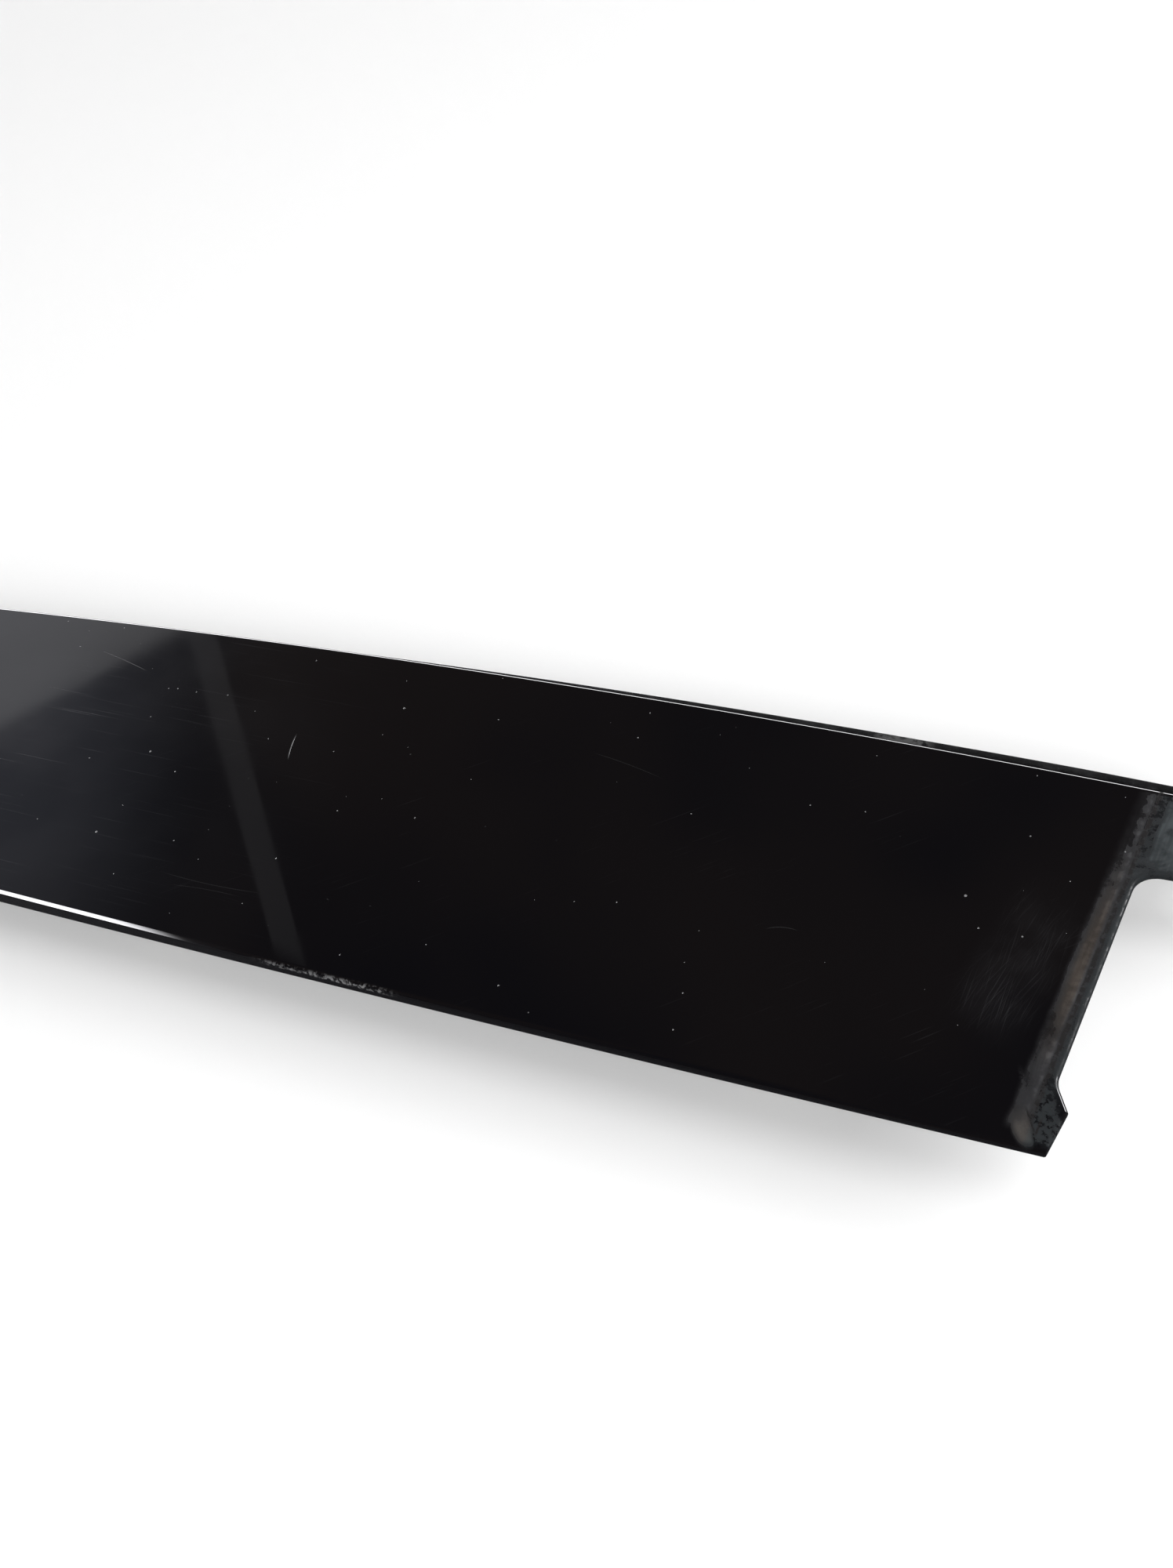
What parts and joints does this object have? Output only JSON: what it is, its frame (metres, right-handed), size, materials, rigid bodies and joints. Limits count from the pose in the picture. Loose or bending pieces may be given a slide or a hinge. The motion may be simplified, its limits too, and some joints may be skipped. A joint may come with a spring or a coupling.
{
  "type": "door cover plate",
  "caption": "Long gloss-black cover plate with turned-down long edges and a notched, tongued end, on a ribbed carrier with push-in clips.",
  "frame": {"origin": "middle of the footprint, on the plane of the clip tips", "axes": "+X along the plate towards the notched end, +Y across it towards the sealed edge, +Z out of the gloss face"},
  "size_m": [0.4889, 0.1064, 0.0253],
  "materials": {
    "gloss_black": "mirror gloss, with fine hairlines and a dusty band at the notched end",
    "carrier_black": "fine moulded grain",
    "seal_rubber": "satin extruded rubber",
    "zinc_steel": "zinc plated",
    "bonding_tape": "acrylic foam tape",
    "foam": "open-cell foam",
    "clip_nylon": "natural nylon",
    "gasket_foam": "closed-cell foam"
  },
  "bodies": {
    "plate": {"face_panel": "gloss_black", "carrier_frame": "carrier_black", "seal_lip": "seal_rubber", "tongue_bush": "zinc_steel", "tape_near": "bonding_tape", "tape_middle": "bonding_tape", "tape_far": "bonding_tape", "upper_foam_block": "foam", "lower_foam_block": "foam", "tongue_pad": "foam"},
    "clip_1_unit": {"clip_1": "clip_nylon", "clip_gasket_1": "gasket_foam"},
    "clip_2_unit": {"clip_2": "clip_nylon", "clip_gasket_2": "gasket_foam"},
    "clip_3_unit": {"clip_3": "clip_nylon", "clip_gasket_3": "gasket_foam"},
    "clip_4_unit": {"clip_4": "clip_nylon", "clip_gasket_4": "gasket_foam"},
    "clip_5_unit": {"clip_5": "clip_nylon", "clip_gasket_5": "gasket_foam"},
    "clip_6_unit": {"clip_6": "clip_nylon", "clip_gasket_6": "gasket_foam"}
  },
  "joints": [
    {"name": "clip_1_float", "type": "slide", "parent": "plate", "child": "clip_1_unit", "axis": [1, 0, 0], "range_m": [-0.0015, 0.0015]},
    {"name": "clip_2_float", "type": "slide", "parent": "plate", "child": "clip_2_unit", "axis": [1, 0, 0], "range_m": [-0.0015, 0.0015]},
    {"name": "clip_3_float", "type": "slide", "parent": "plate", "child": "clip_3_unit", "axis": [1, 0, 0], "range_m": [-0.0015, 0.0015]},
    {"name": "clip_4_float", "type": "slide", "parent": "plate", "child": "clip_4_unit", "axis": [1, 0, 0], "range_m": [-0.0015, 0.0015]},
    {"name": "clip_5_float", "type": "slide", "parent": "plate", "child": "clip_5_unit", "axis": [1, 0, 0], "range_m": [-0.0015, 0.0015]},
    {"name": "clip_6_float", "type": "slide", "parent": "plate", "child": "clip_6_unit", "axis": [1, 0, 0], "range_m": [-0.0015, 0.0015]}
  ]
}
